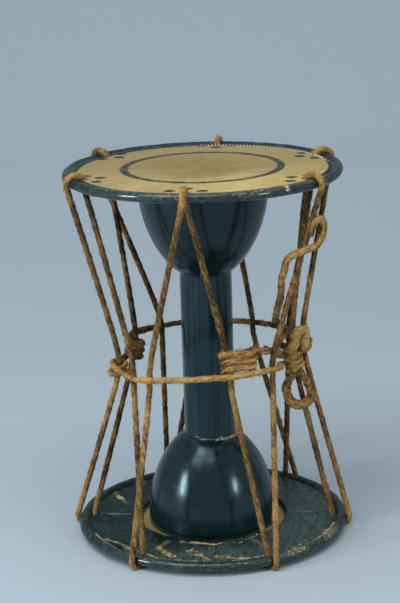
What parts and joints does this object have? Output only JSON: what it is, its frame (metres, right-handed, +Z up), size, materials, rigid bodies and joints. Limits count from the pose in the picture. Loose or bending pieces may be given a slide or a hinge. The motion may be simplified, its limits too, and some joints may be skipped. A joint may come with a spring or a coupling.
{
  "type": "hourglass drum",
  "caption": "Laced hourglass hand drum: turned lacquered body between two wide skin heads on iron rings, held and tuned by a hemp lacing cord with a tied waist cord.",
  "frame": {"origin": "on the drum's axis, at the level of the six lower cord bends that it stands on", "axes": "+Z up along the drum's axis, -Y the pictured front, +X to its right"},
  "size_m": [0.1962, 0.1949, 0.2628],
  "materials": {
    "black_lacquer": "black lacquer, glossy, worn at the edges",
    "lacquered_leather": "black lacquer, crazed and flaked",
    "tan_hide": "tan hide with a black lacquered rolled rim",
    "iron": "plain forged",
    "deerskin": "soft, matt",
    "hemp_cord": "twisted hemp, orange-brown"
  },
  "bodies": {
    "drum": {"drum_body": "black_lacquer", "upper_head_ring": "iron", "upper_head_skin": "tan_hide", "upper_head_facing": "lacquered_leather", "lower_head_ring": "iron", "lower_head_skin": "tan_hide", "lower_head_facing": "lacquered_leather", "lower_head_patch": "deerskin", "lacing_cord_1": "hemp_cord", "lacing_cord_2": "hemp_cord", "lacing_cord_3": "hemp_cord", "lacing_cord_4": "hemp_cord", "lacing_cord_5": "hemp_cord", "lacing_cord_6": "hemp_cord", "waist_cord": "hemp_cord", "front_lashing": "hemp_cord", "side_knot": "hemp_cord", "hitch_cord": "hemp_cord"},
    "bow_loop": {"bow_loop": "hemp_cord"}
  },
  "joints": [
    {"name": "bow_loop_swing", "type": "hinge", "parent": "drum", "child": "bow_loop", "pos_m": [0.06027, -0.01071, 0.11639], "axis": [-1, 0, 0], "range_deg": [0, 70]}
  ]
}
